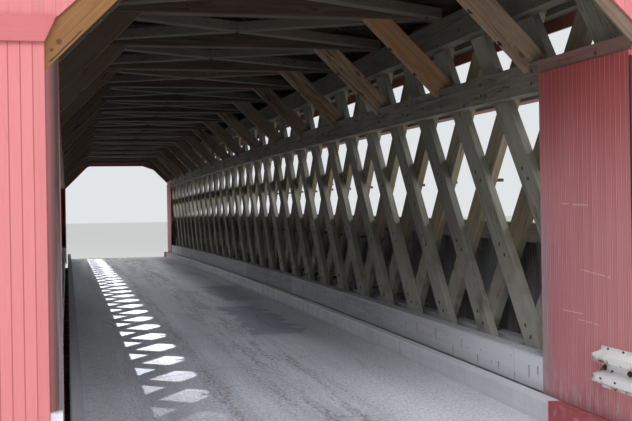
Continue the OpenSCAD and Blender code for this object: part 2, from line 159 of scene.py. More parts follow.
def grain_group():
    """Sawn softwood whose grain runs along Y of the vector: streaks, fibres, knots and drying checks."""
    inputs = [("Vector", (0.0, 0.0, 0.0)), ("Number", 0.0), ("Streak size", 0.03), ("Knots", 0.5),
        ("Checks", 0.5)]
    n, given, out = new_group("timber_grain", inputs, ["Streak", "Fibre", "Knot", "Check", "Height"])
    shift = n.put("ShaderNodeCombineXYZ", {
        "X": n.times(given["Number"], 7.31),
        "Y": n.times(given["Number"], 3.17),
        "Z": n.times(given["Number"], 5.73),
    }).outputs[0]
    own = n.put("ShaderNodeVectorMath", {0: given["Vector"], 1: shift}).outputs[0]
    cells = n.put("ShaderNodeTexVoronoi", {"Vector": n.stretch(own, 5.0, 2.2, 5.0), "Scale": 1.0})
    chosen = n.put("ShaderNodeSeparateColor", {0: cells.outputs["Color"]}).outputs[0]
    chosen = n.calc("LESS_THAN", chosen, given["Knots"])
    near = n.times(n.ramp(cells.outputs["Distance"], 0.08, 0.4, 1.0, 0.0), chosen)
    knot = n.times(n.ramp(cells.outputs["Distance"], 0.07, 0.13, 1.0, 0.0), chosen)
    aside = n.times(near, 0.03)
    swirl = n.put("ShaderNodeCombineXYZ", {"X": aside, "Z": aside}).outputs[0]
    bent = n.put("ShaderNodeVectorMath", {0: own, 1: swirl}).outputs[0]
    wide = n.calc("DIVIDE", 1.0, given["Streak size"])
    streak = n.ramp(n.noise(n.stretch(bent, 1.0, 0.05, 1.0), wide, 3.0, 0.6), 0.3, 0.7)
    fibre = n.noise(n.stretch(bent, 1.0, 0.02, 1.0), 230.0, 2.0, 0.6)
    crack = n.calc("ABSOLUTE", n.minus(n.noise(n.stretch(bent, 1.0, 0.03, 1.0), 16.0, 1.0), 0.5))
    where = n.ramp(n.noise(n.stretch(own, 1.0, 0.4, 1.0), 2.4, 1.0), 0.42, 0.52)
    check = n.times(n.ramp(crack, 0.004, 0.012, 1.0, 0.0), where)
    check = n.times(check, given["Checks"])
    height = n.plus(n.times(streak, 0.5), n.times(fibre, 0.3))
    height = n.minus(n.plus(height, n.times(knot, 0.4)), check)
    n.feed(out, {"Streak": streak, "Fibre": fibre, "Knot": knot, "Check": check, "Height": height})
    return n.tree


def weather_group():
    """Large soft patches of a size in metres, fine grit, and runs that water has left."""
    inputs = [("Vector", (0.0, 0.0, 0.0)), ("Size", 1.0)]
    n, given, out = new_group("weather", inputs, ["Patch", "Grit", "Runs"])
    scale = n.calc("DIVIDE", 1.0, given["Size"])
    patch = n.ramp(n.noise(given["Vector"], scale, 5.0, 0.6), 0.38, 0.64)
    grit = n.noise(given["Vector"], 120.0, 3.0, 0.7)
    fall = n.stretch(given["Vector"], 1.0, 1.0, 0.06)
    runs = n.ramp(n.noise(fall, n.times(scale, 9.0), 3.0), 0.5, 0.72)
    n.feed(out, {"Patch": patch, "Grit": grit, "Runs": runs})
    return n.tree


bridge_place = place_group()
timber_grain = grain_group()
weather = weather_group()


def tone(red, green, blue):
    """A colour given as it looks on a screen, 0 to 255."""
    linear = []
    for c in (red, green, blue):
        linear.append(c / 255 / 12.92 if c <= 10 else ((c / 255 + 0.055) / 1.055) ** 2.4)
    return (*linear, 1.0)


class Finish(Nodes):
    """A material in the making: its colour, roughness and relief so far."""

    def __init__(self, name, colour, rough=0.85, turn=(0, 0, 0)):
        self.material = bpy.data.materials.new(name)
        self.material.use_nodes = True
        super().__init__(self.material.node_tree)
        self.shader = self.tree.nodes["Principled BSDF"]
        place = self.put("ShaderNodeGroup", node_tree=bridge_place)
        self.tree.links.new(self.put("ShaderNodeTexCoord").outputs["Object"], place.inputs[0])
        self.level, self.across, self.along, self.up = place.outputs
        angles = tuple(math.radians(a) for a in turn)
        self.turned = self.put("ShaderNodeMapping", {"Vector": self.level, "Rotation": angles}).outputs[0]
        self.colour, self.rough, self.height = colour, rough, 0.0

    def to_right(self):
        """The place across the bridge, which is below 0 on the left of the road."""
        return self.put("ShaderNodeSeparateXYZ", {0: self.level}).outputs["X"]

    def over(self, share, colour, rough=None):
        """Lays a colour over what is there, as far as share says."""
        self.colour = self.mix(share, self.colour, colour)
        if rough is not None:
            kept = self.times(self.rough, self.minus(1.0, share))
            self.rough = self.plus(kept, self.times(share, rough))

    def shade(self, value):
        """Multiplies the colour by a value that is about 1."""
        plain = self.colour[:3] if isinstance(self.colour, tuple) else self.colour
        scaled = self.put("ShaderNodeVectorMath", {0: plain, "Scale": value}, operation="SCALE")
        self.colour = scaled.outputs[0]

    def raise_by(self, value, amount):
        self.height = self.plus(self.height, self.times(value, amount))

    def timber(self, dark, light, number=0.0, streak=0.03, knots=0.4, checks=0.7, grey=None):
        """Sawn timber with its grain along Y once turned, greyed in patches."""
        inputs = {"Vector": self.turned, "Number": number, "Streak size": streak, "Knots": knots,
            "Checks": checks}
        grain = self.put("ShaderNodeGroup", inputs, node_tree=timber_grain).outputs
        patch = self.weathered(1.1)
        self.over(grain["Streak"], light)
        self.over(self.times(grain["Fibre"], 0.45), dark)
        if grey is not None:
            self.over(self.times(patch["Patch"], 0.75), grey)
        self.shade(self.ramp(self.random(number), 0.0, 1.0, 0.78, 1.2))
        self.over(self.times(grain["Knot"], 0.7), tone(58, 42, 30), 0.6)
        self.over(self.times(grain["Check"], 0.85), tone(22, 19, 17))
        self.raise_by(grain["Height"], 1.0)
        self.raise_by(patch["Grit"], 0.15)
        self.rough = self.ramp(grain["Streak"], 0.0, 1.0, 0.92, 0.78)

    def distance_squared(self, one, one_spot, other, other_spot):
        """The square of the distance from a spot, for round marks such as nail heads."""
        first = self.calc("POWER", self.minus(one, one_spot), 2.0)
        return self.plus(first, self.calc("POWER", self.minus(other, other_spot), 2.0))

    def weathered(self, size):
        return self.put("ShaderNodeGroup", {"Vector": self.level, "Size": size}, node_tree=weather).outputs

    def onto(self, *names, relief=0.003):
        """Joins the colour, roughness and relief to the shader, and paints the named parts of the bridge."""
        bump = self.put("ShaderNodeBump", {"Strength": 0.9, "Distance": relief, "Height": self.height})
        made = {"Base Color": self.colour, "Roughness": self.rough, "Normal": bump.outputs[0]}
        self.feed(self.shader.inputs, made)
        for name in names:
            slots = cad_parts[name].data.materials
            slots.clear()
            slots.append(self.material)
        return self.material


bed = Finish("bed_timber", tone(96, 86, 74), turn=(0, 0, 90))
bed.timber(tone(70, 62, 54), tone(132, 122, 108), grey=tone(128, 126, 122))
bed.over(bed.ramp(bed.up, 0.0, 0.14, 0.7, 0.0), tone(74, 70, 58), 0.95)
bed.onto("bed_timbers_near", "bed_timbers_far")

# Bottom chords
# Pairs of planks inside and outside each lattice carry the bridge from end to end.
# They are spliced every few metres and held together by wooden pins through the lattice.

chord_face, chord_ply = 1.998, 0.076
chord_plank_len = 4.87


def chord_number(f):
    """A number for each plank of a chord, and the place where it butts; each ply is staggered."""
    ply = f.nth(f.minus(f.across, chord_face), chord_ply)
    right = f.calc("GREATER_THAN", f.to_right(), 0.0)
    shift = f.plus(f.times(ply, 0.37), f.times(right, 0.21))
    run = f.plus(f.calc("DIVIDE", f.along, chord_plank_len), shift)
    whole = f.calc("FLOOR", run)
    part = f.times(f.minus(run, whole), chord_plank_len)
    number = f.plus(f.times(whole, 7.0), f.plus(ply, f.times(right, 3.0)))
    return number, f.ramp(part, 0.0, 0.006, 1.0, 0.0)


bottom = Finish("bottom_chord_timber", tone(84, 76, 66))
number, butt = chord_number(bottom)
bottom.timber(tone(66, 58, 49), tone(124, 113, 100), number, grey=tone(118, 116, 112))
bottom.over(butt, tone(20, 18, 16))
bottom.over(bottom.ramp(bottom.up, 0.3, 0.42, 0.5, 0.0), tone(70, 66, 54))
bottom.onto("bottom_chord_left", "bottom_chord_right")

# Floor beams and stringers
# Squared beams lie across the bottom chords, and a row of stringers runs over them from portal to portal.
# The deck spikes go down into the stringers; both stay dry and dark under the road.

beam_step, stringer_step = 1.219, 0.6
beam = Finish("floor_beam_timber", tone(76, 67, 57), turn=(0, 0, 90))
beam.timber(tone(58, 50, 42), tone(108, 96, 82), beam.nth(beam.along, beam_step))
beam.onto("floor_beams")

stringer = Finish("stringer_timber", tone(82, 73, 62))
stringer.timber(tone(62, 54, 46), tone(116, 104, 90), stringer.nth(stringer.across, stringer_step))
stringer.onto("stringers")

# Deck planks
# Thick planks lie across the stringers, side by side, under the road surface.
# Their ends show grey and dusty at the foot of the curbs and in the open slot beside them.


class Boards:
    """The joints between boards of one width, laid side by side along a coordinate of a finish."""

    def __init__(self, f, place, width, gap=0.004, start=0.0):
        self.finish = f
        run = f.calc("DIVIDE", f.minus(place, start), width)
        self.number = f.calc("FLOOR", run)
        part = f.minus(run, self.number)
        off = f.times(f.calc("MINIMUM", part, f.minus(1.0, part)), width)
        self.joint = f.ramp(off, gap / 2, gap / 2 + 0.002, 1.0, 0.0)
        self.middle = f.times(f.calc("ABSOLUTE", f.minus(part, 0.5)), width)

    def cut(self, depth=1.0, dark=tone(24, 21, 19)):
        self.finish.over(self.joint, dark)
        self.finish.raise_by(self.joint, -depth)


deck_plank_width, deck_top = 0.235, 1.18
deck = Finish("deck_plank", tone(98, 90, 80), turn=(0, 0, 90))
planks = Boards(deck, deck.along, deck_plank_width, gap=0.006)
deck.timber(tone(74, 66, 58), tone(130, 120, 107), planks.number, grey=tone(128, 126, 122))
planks.cut(2.0)
deck.over(deck.times(deck.ramp(deck.up, deck_top - 0.03, deck_top), 0.7), tone(140, 138, 135))
deck.onto("deck_planks")

# Road surface
# Asphalt is rolled over the deck planks between the curbs, and has been patched and worn into wheel tracks.
# Grit and old leaves gather along the curbs, where no wheel sweeps them away.

wheel_track, lane_middle = 0.85, 0.1
road = Finish("road_asphalt", tone(176, 178, 187), rough=0.5)
right = road.to_right()

# Stones and fine grit in the asphalt
stones = road.put("ShaderNodeTexVoronoi", {"Vector": road.level, "Scale": 95.0}).outputs
fine = road.noise(road.level, 260.0, 2.0, 0.7)
mottled = road.weathered(0.9)
road.over(road.ramp(stones["Distance"], 0.15, 0.5, 0.6, 0.0), tone(206, 208, 214))
road.over(road.ramp(fine, 0.4, 0.7, 0.0, 0.6), tone(96, 97, 104))
road.over(road.times(mottled["Patch"], 0.35), tone(184, 187, 196))

# Lanes rubbed pale or left dark by the wheels, and a painted reflection of the far opening that makes all of
# it paler towards the far end
lane = road.noise(road.stretch(road.level, 1.0, 0.07, 1.0), 2.6, 4.0, 0.6)
road.over(road.ramp(lane, 0.5, 0.66, 0.0, 0.45), tone(118, 119, 124))
road.over(road.ramp(lane, 0.34, 0.46, 0.4, 0.0), tone(214, 216, 226))
worn = road.band(road.across, wheel_track, 0.16, 0.35)
worn = road.plus(worn, road.band(road.across, lane_middle, 0.1, 0.3))
road.over(road.times(worn, 0.3), tone(190, 193, 202))
grains = road.noise(road.stretch(road.level, 1.0, 0.5, 1.0), 42.0, 2.0, 0.7)
road.over(road.ramp(grains, 0.52, 0.66, 0.0, 0.6), tone(98, 99, 106))
road.over(road.ramp(grains, 0.34, 0.46, 0.55, 0.0), tone(218, 220, 228))
# Painted reflection: the road grows paler towards the far end, as if the bright far opening shone on it
painted_far_reflection = road.ramp(road.along, -8.0, 10.0, 0.0, 0.8)
painted_far_reflection = road.times(painted_far_reflection, road.ramp(lane, 0.42, 0.7, 1.0, 0.5))
road.over(painted_far_reflection, tone(230, 233, 242), 0.42)

# Crumbs swept into two trails between the wheel tracks
trails = road.noise(road.stretch(road.level, 1.0, 0.07, 1.0), 6.5, 4.0, 0.65)
swept = road.plus(road.band(right, 0.3, 0.25, 0.25), road.band(right, -0.52, 0.05, 0.12))
swept = road.times(swept, road.ramp(trails, 0.44, 0.6))
crumbs = road.noise(road.stretch(road.level, 1.0, 0.4, 1.0), 30.0, 3.0, 0.7)
crumbs = road.times(swept, road.ramp(crumbs, 0.45, 0.6, 0.1, 0.75))
road.over(crumbs, tone(110, 104, 98), 0.85)

# A mended patch on the right, and a soaked one further in
beside = road.plus(right, road.times(road.noise(road.level, 2.2, 3.0), 0.6))
mended_along, soaked_along = -8.3, -3.2
mended = road.times(road.band(beside, 1.25, 0.3, 0.08), road.band(road.along, mended_along, 1.9, 0.3))
soaked = road.times(road.band(beside, 1.6, 0.35, 0.15), road.band(road.along, soaked_along, 1.6, 0.6))
mended = road.calc("MAXIMUM", mended, road.times(soaked, 0.8))
road.over(road.times(mended, 0.7), tone(104, 108, 124), 0.5)

# Thin cracks
ragged = road.stretch(mottled["Grit"], 0.05, 0.05, 0.0)
uneven = road.put("ShaderNodeVectorMath", {0: road.level, 1: ragged}).outputs[0]
cracks = road.put("ShaderNodeTexVoronoi", {"Vector": uneven, "Scale": 0.8}, feature="DISTANCE_TO_EDGE")
seamed = road.ramp(cracks.outputs[0], 0.002, 0.008, 1.0, 0.0)
seamed = road.times(seamed, road.ramp(road.noise(road.level, 0.5), 0.5, 0.6))
road.over(road.times(seamed, 0.7), tone(50, 50, 52))

# Leaves and pale dust along the curbs, and on the right by the near portal pale gravel with painted daylight
litter = road.ramp(road.noise(road.level, 46.0, 4.0, 0.7), 0.52, 0.6)
litter = road.times(litter, road.ramp(road.across, 1.45, 1.8))
road.over(road.times(litter, 0.7), tone(132, 122, 108))
drift = road.ramp(road.noise(road.level, 8.0, 4.0), 0.35, 0.7, 0.2, 0.9)
drift = road.times(drift, road.ramp(road.across, 1.2, 1.75))
road.over(road.times(drift, 0.7), tone(206, 208, 214), 0.95)
# Pale gravel and painted daylight: the right of the road is lightened near the near portal
gravel_and_daylight = road.times(road.ramp(right, 0.4, 1.3), road.ramp(road.along, -16.5, -8.0, 0.8, 0.0))
road.over(road.times(gravel_and_daylight, road.ramp(grains, 0.4, 0.6, 1.0, 0.6)), tone(230, 232, 240), 0.95)

road.raise_by(stones["Distance"], -0.6)
road.raise_by(fine, 0.5)
road.raise_by(seamed, -1.5)
road.raise_by(litter, 1.5)
road.onto("road_surface", relief=0.002)

# Curbs
# A timber curb runs along each side of the road, spiked down through the deck; the left one is coloured
# darker, as painted shade.
# Its top arris carries a painted highlight, its foot and the slot behind it painted shade, and its ends
# painted daylight; its last metre at each portal is painted with the portal's red.

road_top, curb_top = 1.24, 1.43
curb_len, first_curb_joint = 4.4, -17.2


def between(dark, light):
    """The colour half way between two."""
    return tone(*[(a + b) / 2 for a, b in zip(dark, light)])


def shifted(colour, more=0, times=1.0):
    """A colour made stronger or weaker, and lighter or darker by the same step in each part."""
    return tone(*[c * times + more for c in colour])


def painted_ends(f, reach, colour, strength):
    """The paint of the portals carried on over a timber's ends, as far in as reach."""
    end = f.minus(half_len, f.calc("ABSOLUTE", f.along))
    edge = f.plus(end, f.times(f.noise(f.level, 9.0, 3.0), 0.05))
    left = f.times(f.ramp(f.noise(f.level, 14.0, 4.0, 0.65), 0.3, 0.5, 0.75, 1.0), strength)
    f.over(f.times(f.ramp(edge, reach, reach + 0.03, 1.0, 0.0), left), colour, 0.7)


# The left curb's colours are darker than the right's: painted shade
for word, dark, light in (
    ("left", (98, 99, 106), (128, 129, 137)),
    ("right", (172, 172, 179), (202, 202, 209)),
):
    f = Finish("curb_timber_" + word, between(dark, light))
    lengths = Boards(f, f.along, curb_len, gap=0.008, start=first_curb_joint)
    f.timber(tone(*dark), tone(*light), number=2.0, streak=0.05, knots=0.06, checks=0.25,
        grey=shifted(dark, 8))
    lengths.cut(2.0)
    stained = f.weathered(0.22)
    f.over(f.times(stained["Patch"], 0.3), shifted(dark, times=0.72))
    f.over(f.times(stained["Runs"], 0.3), shifted(dark, times=0.78))
    # Painted highlight along the top arris
    f.over(f.ramp(f.up, curb_top - 0.03, curb_top - 0.008, 0.0, 0.6), shifted(light, 30))
    # Painted shade along the foot, where the curb meets the road
    f.over(f.ramp(f.up, road_top, road_top + 0.06, 0.5, 0.0), shifted(dark, -16))
    # Painted daylight: the curb grows paler towards the portals
    painted_daylight_to_ends = f.times(f.ramp(f.calc("ABSOLUTE", f.along), 8.0, 16.6), 0.6)
    f.over(painted_daylight_to_ends, shifted(light, 22), 0.95)
    painted_ends(f, reach=1.12, colour=tone(168, 78, 84), strength=1.0)
    # Painted shade: the curb's outer side is darkened where the slot behind it lies in shadow
    low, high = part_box("curb_" + word)
    back = max(abs(low.x), abs(high.x))
    f.over(f.ramp(f.across, back - 0.02, back - 0.006, 0.0, 0.6), tone(46, 45, 46))
    f.onto("curb_" + word)

# Lattices
# Two layers of sawn planks cross at a steep angle on each side and make the trusses.
# Round wooden pins, two at each crossing, hold them; the inner ends are trimmed and the outer ends stand out.

plank_angle, plank_pitch = 51.7, 1.135
slope = math.tan(math.radians(plank_angle))
crossing_up, first_crossing = 4.01, -half_len + 0.487
lattice_face, lattice_back = 2.15, 2.302
pins_end, pin_along, pin_up = 17.45, 0.062, 0.05
both_sides = ((-1, "left"), (1, "right"))


def plank_number(f, lean):
    """A number for each lattice plank, from the place where its middle line meets the upper crossings."""
    back = f.times(f.minus(f.up, crossing_up), lean / slope)
    run = f.minus(f.minus(f.along, back), first_crossing)
    return f.calc("FLOOR", f.plus(f.calc("DIVIDE", run, plank_pitch), 0.5))


def lattice_plank(name, lean, dark, light, grey, *names):
    """A finish for one layer of the lattice; the dust lies on the foot of its planks."""
    f = Finish(name, between(dark, light), turn=(-plank_angle * lean, 0, 0))
    f.timber(tone(*dark), tone(*light), plank_number(f, lean), streak=0.035, knots=0.5, checks=0.8,
        grey=tone(*grey))
    dust = f.ramp(f.noise(f.level, 5.0, 3.0), 0.25, 0.6)
    dust = f.times(dust, f.ramp(f.up, 1.7, 2.9, 0.75, 0.0))
    f.over(dust, tone(168, 166, 158), 0.95)
    f.onto(*names)


lattice_plank("lattice_inner_plank", 1, (92, 90, 80), (144, 141, 127), (138, 137, 130),
    "lattice_inner_left", "lattice_inner_right")
lattice_plank("lattice_outer_plank", -1, (88, 78, 62), (144, 130, 104), (128, 121, 106),
    "lattice_outer_left", "lattice_outer_right")

pin = Finish("pin_timber", tone(62, 54, 46))
pin.over(pin.noise(pin.level, 60.0, 3.0), tone(98, 86, 72))
pin.raise_by(pin.noise(pin.level, 220.0, 2.0), 1.0)
pin_timber = pin.onto(relief=0.001)

chance = random.Random(7)


def stand(name, data):
    """Puts an object of a mesh, a lamp or a camera into the scene."""
    made = bpy.data.objects.new(name, data)
    bpy.context.scene.collection.objects.link(made)
    return made


def settle(name, mesh, finish, stands_for=()):
    """Makes a piece of a bmesh, gives it its finish and lets it ride on the bridge."""
    bmesh.ops.recalc_face_normals(mesh, faces=mesh.faces)
    data = bpy.data.meshes.new(name)
    mesh.to_mesh(data)
    mesh.free()
    data.materials.append(finish)
    made = stand(name, data)
    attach(made, "root")
    if stands_for:
        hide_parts(*stands_for)


def peg(mesh, spot, side, thick, thin, length):
    """A round wooden pin across the bridge, with its middle on spot and its thin end outwards."""
    across = Matrix.Rotation(math.radians(90) * side, 4, "Y")
    bmesh.ops.create_cone(mesh, cap_ends=True, segments=10, radius1=thick, radius2=thin,
        depth=length, matrix=Matrix.Translation(spot) @ across)


def crossings(rows):
    """Where the planks of a side cross: along, and up before the camber."""
    for row in rows:
        for i in range(-2, 34):
            y = first_crossing + (i + (row % 2) / 2) * plank_pitch
            if abs(y) < pins_end:
                yield y, crossing_up + row * plank_pitch * slope / 2


for side, word in both_sides:
    pins = bmesh.new()
    for y, z in crossings((-3, -2, -1)):
        for off in (-1, 1):
            reach = 0.02 + 0.09 * chance.random() ** 2
            along = y + off * pin_along + chance.uniform(-0.012, 0.012)
            up = z + off * pin_up + chance.uniform(-0.01, 0.01) + rise(y)
            inner, outer = lattice_face - 0.004, lattice_back + reach
            middle = (side * (inner + outer) / 2, along, up)
            peg(pins, middle, side, 0.019, 0.017, outer - inner)
    settle("lattice_pins_" + word, pins, pin_timber)

# Portal posts
# A post stands at each end of each truss, between the chord planks, where the lattice stops.
# It is sawn from the same softwood as they are, and carries the portal boards.

post = Finish("portal_post_timber", tone(104, 94, 82), turn=(-90, 0, 0))
post.timber(tone(84, 75, 64), tone(130, 119, 104), number=3.0, grey=tone(120, 117, 111))
post.onto("portal_posts_left", "portal_posts_right")

# Lower secondary chords
# Planks inside and outside the lattice, low down, are bleached pale by splash and salt, and painted paler
# still towards the portals as daylight.
# Iron nails have bled rust down their faces, and the two plies leave a groove on top; a painted highlight
# runs along the top arris and painted shade along the foot.


def rust_runs(f, foot, reach, strength):
    """Rust that has run down a face from nails, which sit up to reach above foot, one in each 200 mm."""
    steps = f.calc("DIVIDE", f.along, 0.2)
    whole = f.calc("FLOOR", steps)
    part = f.minus(f.minus(steps, whole), f.times(f.random(whole), 0.7))
    start = f.plus(foot, f.times(f.random(f.plus(whole, 0.5)), reach))
    below = f.minus(start, f.up)
    length = f.plus(f.times(f.random(f.plus(whole, 0.25)), 0.07), 0.03)
    aside = f.calc("ABSOLUTE", f.minus(part, 0.15))
    left = f.minus(length, below)
    drawn = f.times(f.ramp(below, -0.02, 0.01), f.ramp(left, -0.03, 0.02))
    run = f.times(f.ramp(aside, 0.0, 0.13, 1.0, 0.0), drawn)
    run = f.times(run, f.ramp(f.random(f.plus(whole, 0.75)), 0.3, 0.9))
    f.over(f.times(run, strength), tone(128, 100, 84), 0.9)
    head = f.ramp(f.calc("ABSOLUTE", below), 0.006, 0.01, 1.0, 0.0)
    head = f.times(f.ramp(aside, 0.02, 0.035, 1.0, 0.0), head)
    f.over(head, tone(52, 44, 40))
    f.raise_by(head, 0.6)


chord_foot, chord_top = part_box("lower_chord_right")[0].z, 1.71
lower = Finish("lower_chord_timber", tone(160, 160, 164))
number, butt = chord_number(lower)
lower.timber(tone(140, 140, 143), tone(184, 184, 190), number, streak=0.05, knots=0.05, checks=0.3,
    grey=tone(172, 173, 181))
# Painted daylight: the chord grows paler towards the portals
painted_daylight_to_ends = lower.times(lower.ramp(lower.calc("ABSOLUTE", lower.along), 11.0, 16.6), 0.88)
lower.over(painted_daylight_to_ends, tone(238, 239, 245), 0.95)
lower.over(butt, tone(26, 24, 23))
# Painted highlight: the top arris is lightened
lower.over(lower.ramp(lower.up, chord_top - 0.03, chord_top - 0.005, 0.0, 0.55), tone(198, 199, 206))
rust_runs(lower, foot=1.47, reach=0.18, strength=0.7)
# Painted shade: the foot of the chord is darkened over the slot beside the curb
lower.over(lower.ramp(lower.up, chord_foot + 0.002, chord_foot + 0.01, 0.4, 0.0), tone(46, 45, 46))
painted_ends(lower, reach=0.3, colour=tone(158, 84, 88), strength=0.9)
lower.onto("lower_chord_left", "lower_chord_right")

# Upper secondary and top chords
# The upper planks stay brown-grey under the roof; long checks and the ends of pins mark their inner faces.
# Near the portals the upper secondary chord carries the faded red of the boarding below it.

upper_foot, outer_planks = 3.98, 2.29
for name, knots, dark, light, grey in (
    ("upper_chord", 0.45, (72, 68, 60), (124, 118, 106), (112, 110, 104)),
    ("top_chord", 0.5, (50, 45, 40), (91, 84, 74), (80, 77, 72)),
):
    f = Finish(name + "_timber", tone(86, 80, 71))
    number, butt = chord_number(f)
    f.timber(tone(*dark), tone(*light), number, streak=0.04, knots=knots, checks=0.9, grey=tone(*grey))
    f.over(butt, tone(20, 18, 16))
    if name == "upper_chord":
        painted_ends(f, reach=1.6, colour=tone(146, 98, 95), strength=0.62)
        under = f.ramp(f.up, upper_foot, upper_foot + 0.01, 1.0, 0.0)
        under = f.times(under, f.calc("GREATER_THAN", f.across, outer_planks))
        f.over(f.times(under, 0.7), tone(126, 66, 52))
    f.onto(name + "_left", name + "_right")

pin_inside, pin_outside, chord_pins_end = 1.996, 2.456, 17.5
lower_row, upper_row, top_row = 1.56, 4.11, 4.845
for side, word in both_sides:
    pins = bmesh.new()
    for z in (lower_row, upper_row, top_row):
        for i in range(-2, 34):
            y = first_crossing + i * plank_pitch + (z - crossing_up) / slope
            if abs(y) > chord_pins_end:
                continue
            for off in (-0.055, 0.055):
                spot = Vector((side * pin_inside, y + chance.uniform(-0.02, 0.02), z + off + rise(y)))
                # The lower chords have nails inside, and pins only on their outer faces
                if z > lower_row:
                    peg(pins, spot, side, 0.017, 0.017, 0.012)
                spot.x = side * pin_outside
                peg(pins, spot, side, 0.017, 0.015, 0.02)
    settle("chord_pins_" + word, pins, pin_timber)

# Tie beams
# Heavy squared beams lie across the top chords, one over each portal and a row between them.
# They are darkened and reddish, with a lighter lower arris.

tie_step, tie_foot = 1.3, 4.99
tie = Finish("tie_beam_timber", tone(64, 50, 42), turn=(0, 0, 90))
tie.timber(tone(40, 32, 27), tone(84, 67, 56), tie.nth(tie.along, tie_step), streak=0.04, checks=0.9)
tie.over(tie.ramp(tie.up, tie_foot, tie_foot + 0.02, 0.3, 0.0), tone(112, 94, 80))
tie.onto("tie_beams")

# Knee braces
# A sloping brace in each corner, notched over the upper chord and bolted, stiffens the frame.
# Most are old and brown; the second on the right is a tan replacement, and the right ones are painted darker
# further in, as shade.

first_knee, knee_step = -half_len + 1.8, 2 * plank_pitch
knees_a_side = 15
for side, word, dark, light in (
    (-1, "left", (54, 47, 41), (96, 84, 72)),
    (1, "right", (100, 84, 71), (164, 139, 118)),
):
    f = Finish("knee_timber_" + word, tone(96, 76, 58), turn=(0, -45 * side, 90))
    brace = f.nth(f.minus(f.along, first_knee - knee_step / 2), knee_step)
    f.timber(tone(*dark), tone(*light), brace, knots=0.7, checks=0.9, grey=shifted(light, times=0.9))
    if side > 0:
        f.over(f.times(f.band(brace, 1.0, 0.1, 0.1), 0.5), tone(166, 116, 72))
        # Painted shade: the right braces darken further into the bridge
        f.shade(f.ramp(f.along, -14.5, -3.0, 1.0, 0.62))
    f.onto("knee_braces_" + word)


def bolt(mesh, spot, way, radius, height, washer):
    """A hexagonal bolt head on a round washer, standing on spot and pointing along way."""
    turn = Vector((0, 0, 1)).rotation_difference(Vector(way)).to_matrix().to_4x4()
    seat = Matrix.Translation(spot) @ turn
    plate = Matrix.Translation((0, 0, 0.002))
    bmesh.ops.create_cone(mesh, cap_ends=True, segments=14, radius1=washer, radius2=washer * 0.94,
        depth=0.004, matrix=seat @ plate)
    head = Matrix.Translation((0, 0, 0.004 + height / 2))
    bmesh.ops.create_cone(mesh, cap_ends=True, segments=6, radius1=radius, radius2=radius * 0.9,
        depth=height, matrix=seat @ head)


iron = Finish("rusty_iron", tone(70, 52, 42), rough=0.75)
rusted = iron.weathered(0.05)
iron.over(rusted["Patch"], tone(112, 72, 50), 0.9)
iron.over(iron.times(rusted["Grit"], 0.4), tone(50, 44, 40))
iron.raise_by(rusted["Grit"], 1.0)
iron.shader.inputs["Metallic"].default_value = 0.35
rusty_iron = iron.onto(relief=0.001)

knee_bolts = ((1.748, 4.41), (1.478, 4.68))
heads = bmesh.new()
for side in (-1, 1):
    for i in range(knees_a_side):
        y = first_knee + i * knee_step
        under = Vector((-side * 0.7071, 0, -0.7071))
        for x, z in knee_bolts:
            spot = (side * x, y + chance.uniform(-0.015, 0.015), z + rise(y))
            bolt(heads, spot, under, radius=0.014, height=0.014, washer=0.03)
settle("knee_bolts", heads, rusty_iron)

# Lateral braces
# Crossed braces lie level between the tie beams, low down, and are halved and bolted where they meet.
# They have darkened with the roof above them.

lateral_foot = 5.01
end_across, end_along = 1.83, 0.957
lateral = Finish("lateral_timber", tone(112, 104, 94), turn=(0, 0, 90))
lateral.timber(tone(48, 42, 37), tone(90, 82, 73), lateral.nth(lateral.along, knee_step),
    streak=0.05, knots=0.3, checks=0.8, grey=tone(78, 74, 68))
lateral.onto("lateral_braces")

down = (0, 0, -1)
heads = bmesh.new()
for i in range(knees_a_side - 1):
    y = first_knee + (i + 0.5) * knee_step
    z = lateral_foot + rise(y)
    bolt(heads, (0, y, z), down, radius=0.014, height=0.014, washer=0.034)
    for turn in (-1, 1):
        for side in (-1, 1):
            spot = (side * end_across, y + side * turn * end_along, z)
            bolt(heads, spot, down, radius=0.012, height=0.012, washer=0.028)
settle("lateral_bolts", heads, rusty_iron)

# Eave plates and rafters
# Plates lie along the ends of the tie beams, and pairs of rafters stand notched over them up to the ridge.
# Both are sawn softwood, brown in the dark of the roof; only the rafter feet under the eaves have greyed.

plate_len, rafter_step, roof_angle = 6.1, 0.38, 35
wall_out = 2.46
plate = Finish("eave_plate_timber", tone(72, 62, 52))
plate.timber(tone(54, 46, 38), tone(96, 84, 70), plate.nth(plate.along, plate_len))
plate.onto("eave_plate_left", "eave_plate_right")

for side, word in both_sides:
    f = Finish("rafter_timber_" + word, tone(70, 60, 50), turn=(0, -roof_angle * side, 90))
    f.timber(tone(50, 42, 36), tone(94, 82, 70), f.nth(f.along, rafter_step), knots=0.5, checks=0.6)
    f.over(f.ramp(f.across, wall_out, wall_out + 0.06, 0.0, 0.4), tone(126, 120, 110))
    f.onto("rafters_" + word)

# Roof boards
# Wide sawn boards run along the bridge over the rafters and carry the roofing.
# They butt at odd places, and where they stand out past the walls they have weathered grey.

roof_slope = math.radians(roof_angle)
roof_board_width, roof_board_len = 0.24, 3.75
boards = Finish("roof_board", tone(74, 62, 52))
down_slope = boards.calc("DIVIDE", boards.across, math.cos(roof_slope))
courses = Boards(boards, down_slope, roof_board_width, gap=0.008)
course_shift = boards.times(boards.random(courses.number), 3.6)
butts = Boards(boards, boards.plus(boards.along, course_shift), roof_board_len)
own = boards.plus(boards.times(courses.number, 11.0), butts.number)
boards.timber(tone(38, 32, 27), tone(72, 61, 51), own, knots=0.5, checks=0.5)
courses.cut(1.5)
butts.cut(1.5)
boards.over(boards.ramp(boards.across, wall_out + 0.04, wall_out + 0.14, 0.0, 0.4), tone(122, 116, 106))
boards.onto("roof_boards_left", "roof_boards_right")

# Roofing and ridge cap
# Long sheets of galvanised metal run from the ridge to the eaves, joined by standing seams.
# The zinc has dulled, and thin rust runs down towards the eaves.

